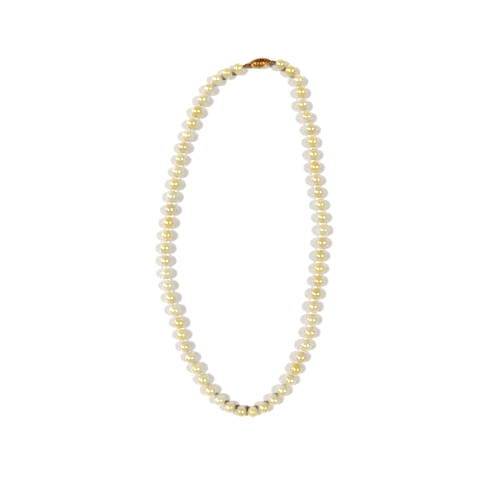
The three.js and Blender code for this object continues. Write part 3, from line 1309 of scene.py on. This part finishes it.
    def _add_leaf(self) -> None:
        """The springy leaf, doubled back from the hook's tip, which flattens as the hook comes out."""
        sizes = self.sizes
        share = np.linspace(0.0, 1.0, 32)
        low = sizes.hook_thickness / 2 + 0.05 + sizes.leaf_thickness / 2
        height = low + sizes.leaf_rise * smoothly(share, 0.0, 1.0)
        place = sizes.hook_tip - 0.15 + (sizes.leaf_end - sizes.hook_tip + 0.15) * share
        path = np.stack([place, np.full(32, sizes.hook_across), height], axis=1)
        thickness, width = sizes.leaf_thickness / 2 * MM, sizes.hook_width / 2 * MM
        strip = swept(self._placed(path), thickness, width, sides=16, squareness=0.4)
        made = self._add("hook_leaf", [Grid(strip)], self.finishes.gold, "clasp_hook_leaf", "clasp_hook")
        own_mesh(made)

    def _add_loop(self, node: str, body: str, mirrored: bool) -> None:
        """The silk turned through a ring: a loop that is widest where it goes round the wire.

        Args:
            node: CAD node that it stands for.
            body: Body that it rides on.
            mirrored: It is at the far end of the clasp.
        """
        sizes = self.sizes
        share = np.linspace(0.0, 1.0, 90)
        start = self.LOOP_START
        reach = sizes.end_clearance + 2 * sizes.loop_radius + sizes.loop_silk
        place = start + (reach - start) * np.sin(np.pi * share) ** 0.8
        spread = smoothly(place, start, 1.0)
        side = np.clip(1.9 * np.cos(np.pi * share), -1.0, 1.0)
        height = side * (self.TAIL_HEIGHT + (sizes.loop_radius - self.TAIL_HEIGHT) * spread)
        across = sizes.hook_across * smoothly(place, -0.2, 0.8)
        path = np.stack([place, across, height], axis=1)
        loop = self._silk(path, self.LOOP_CORD, mirrored)
        self._add(f"{node}_turned", [loop], self.finishes.gimp, node, body)

    def _add_tie(self, name: str, body: str, mirrored: bool) -> None:
        """The two ends of a loop, bound together and led into the end pearl's drill hole.

        Args:
            name: Object name.
            body: Body that it rides on.
            mirrored: It is at the far end of the clasp.
        """
        turns = np.linspace(0.0, self.BINDING_TURNS * 2 * np.pi, 64)
        start, end = self.BINDING_PLACE
        along = start + (end - start) * turns / turns[-1]
        reach = self.BINDING_REACH
        binding = np.stack([along, reach * np.cos(turns) + 0.2, reach * np.sin(turns)], axis=1)
        grids = [self._silk(binding, self.BINDING_CORD, mirrored)]
        share = np.linspace(0.0, 1.0, 20)
        place = -0.9 + 1.4 * share
        across = self.sizes.hook_across * smoothly(place, -0.2, 0.8)
        for side in (-1.0, 1.0):
            tail = np.stack([place, across, np.full(20, side * self.TAIL_HEIGHT)], axis=1)
            grids.append(self._silk(tail, self.LOOP_CORD, mirrored))
        made = Piece(name, grids).dressed(self.finishes.gimp)
        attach(made, body)

    def _silk(self, path: np.ndarray, radius: float, mirrored: bool) -> Grid:
        """A twisted cord along a path that starts at one end of the clasp.

        Args:
            path: Points along, across and above the clasp.
            radius: Radius of the cord.
            mirrored: The path is measured from the far end.

        Returns:
            The closed surface.
        """
        if mirrored:
            path = path * [-1.0, 1.0, 1.0] + [self.length, 0.0, 0.0]
        return self._tube(path, radius, plies=2, lay=0.5 * MM, sides=8)


# ---- The studio -------------------------------------------------------------------------------


@dataclass(frozen=True)
class Lamp:
    """One soft lamp.

    Attributes:
        azimuth: Direction it stands in, in degrees from +X.
        elevation: Height above the table, in degrees.
        distance: Distance from the table's middle, in metres.
        size: Width of the lamp, in metres.
        power: Power, in watts.
        colour: Colour of its light.
    """

    azimuth: float
    elevation: float
    distance: float
    size: float
    power: float
    colour: tuple[float, float, float] = (1.0, 1.0, 1.0)

    def build(self, name: str) -> None:
        """Builds the lamp, aimed at the table's middle.

        Args:
            name: Object name.
        """
        lamp = bpy.data.lights.new(name, "AREA")
        lamp.shape, lamp.size, lamp.energy, lamp.color = "DISK", self.size, self.power, self.colour
        made = bpy.data.objects.new(name, lamp)
        azimuth, elevation = math.radians(self.azimuth), math.radians(self.elevation)
        level = self.distance * math.cos(elevation)
        height = self.distance * math.sin(elevation)
        made.location = (level * math.cos(azimuth), level * math.sin(azimuth), height)
        made.rotation_euler = (0.0, math.pi / 2 - elevation, azimuth)
        bpy.context.scene.collection.objects.link(made)


class Studio:
    """A white table under two crossed soft lamps and a low one, seen from straight above."""

    LAMPS = {
        "lamp_left": Lamp(180.0, 57.0, 2.0, 0.36, 37.0, (0.95, 0.97, 1.0)),
        "lamp_right": Lamp(0.0, 54.0, 2.0, 0.36, 33.5, (0.95, 0.96, 0.97)),
        "lamp_low": Lamp(165.0, 11.0, 1.5, 0.9, 11.0, (0.86, 0.93, 1.0)),
    }
    CAMERA_HEIGHT = 0.3032
    CAMERA_PLACE = (0.0031, -0.00685)
    LENS = 39.3
    WALLS = (0.46, 0.45, 0.43)
    WALLS_TOP = 0.05
    CEILING = (0.2, 0.144, 0.06)
    CEILING_EDGE = 0.45
    TABLE_REACH = 2.0
    TABLE_DEPTH = 0.01

    def build(self) -> None:
        """Builds the table, the lamps, the room's light and the camera."""
        self._add_table()
        for name, lamp in self.LAMPS.items():
            lamp.build(name)
        self._add_room()
        self._add_camera()

    def _add_table(self) -> None:
        """A smooth white table top, far wider than the view."""
        shader = Shader("table")
        shade = shader.mixed(shader.noise(60.0, 4.0), (0.68, 0.68, 0.68), (0.66, 0.66, 0.66))
        shader.join(shade, shader.surface.inputs["Base Color"])
        shader.set(Roughness=0.7, Specular_IOR_Level=0.2)
        reach = self.TABLE_REACH
        outline = np.array([[-reach, -reach], [reach, -reach], [reach, reach], [-reach, reach]])
        levels = [np.column_stack([outline, np.full(4, height)]) for height in (-self.TABLE_DEPTH, 0.0)]
        made = Piece("table", [Grid(np.stack(levels))]).dressed(shader.material)
        made.data.polygons.foreach_set("use_smooth", np.zeros(len(made.data.polygons), dtype=bool))

    def _add_room(self) -> None:
        """Light from the room: pale walls at table height and a dim, warm ceiling."""
        world = bpy.data.worlds.new("room")
        world.use_nodes = True
        tree = world.node_tree
        direction = tree.nodes.new("ShaderNodeTexCoord")
        parts = tree.nodes.new("ShaderNodeSeparateXYZ")
        tree.links.new(direction.outputs["Generated"], parts.inputs["Vector"])
        ramp = tree.nodes.new("ShaderNodeValToRGB")
        low, high = ramp.color_ramp.elements
        low.position, low.color = self.WALLS_TOP, (*self.WALLS, 1.0)
        high.position, high.color = self.CEILING_EDGE, (*self.CEILING, 1.0)
        tree.links.new(parts.outputs["Z"], ramp.inputs["Fac"])
        tree.links.new(ramp.outputs["Color"], tree.nodes["Background"].inputs["Color"])
        bpy.context.scene.world = world

    def _add_camera(self) -> None:
        """A camera close above the table, looking straight down with the clasp at the top."""
        camera = bpy.data.cameras.new("camera")
        camera.lens, camera.sensor_width, camera.clip_start = self.LENS, 36.0, 0.01
        made = bpy.data.objects.new("camera", camera)
        made.location = (*self.CAMERA_PLACE, self.CAMERA_HEIGHT)
        bpy.context.scene.collection.objects.link(made)
        bpy.context.scene.camera = made
        bpy.context.scene.view_settings.view_transform = "Standard"


def main() -> None:
    """Builds the necklace and the studio."""
    logging.basicConfig(level=logging.INFO)
    finishes = Finishes.made()
    strand = Strand(StrandSizes(), finishes)
    strand.build()
    Clasp(ClaspSizes(), strand).build()
    Studio().build()


if __name__ == "__main__":
    main()
